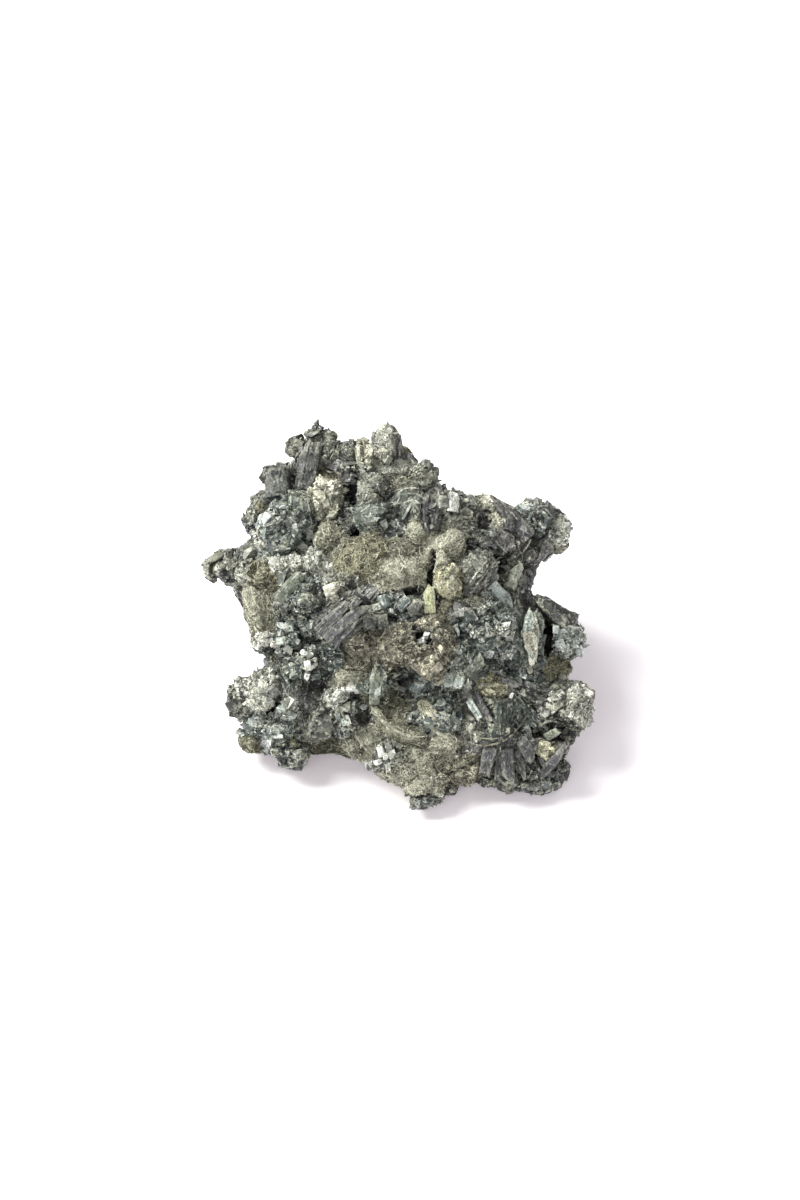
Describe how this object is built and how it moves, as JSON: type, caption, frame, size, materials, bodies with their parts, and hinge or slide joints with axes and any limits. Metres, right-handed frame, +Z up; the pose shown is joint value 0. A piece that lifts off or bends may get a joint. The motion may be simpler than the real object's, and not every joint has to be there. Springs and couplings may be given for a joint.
{
  "type": "raw mineral specimen",
  "caption": "Rough grown-together lump of green-grey prehnite with druzy nodules, tabular crystals and felted matrix, standing on its own lumps.",
  "frame": {"origin": "under the middle of the specimen's box, on the surface it rests on", "axes": "+Z up as the specimen rests, +X to the right and +Y away from someone who faces its broad rough side"},
  "size_m": [0.1298, 0.1174, 0.0845],
  "materials": {
    "prehnite": "rough natural crystal aggregate, glassy crystal faces on an earthy matrix"
  },
  "bodies": {
    "root": {"prehnite_specimen": "prehnite"}
  },
  "joints": []
}
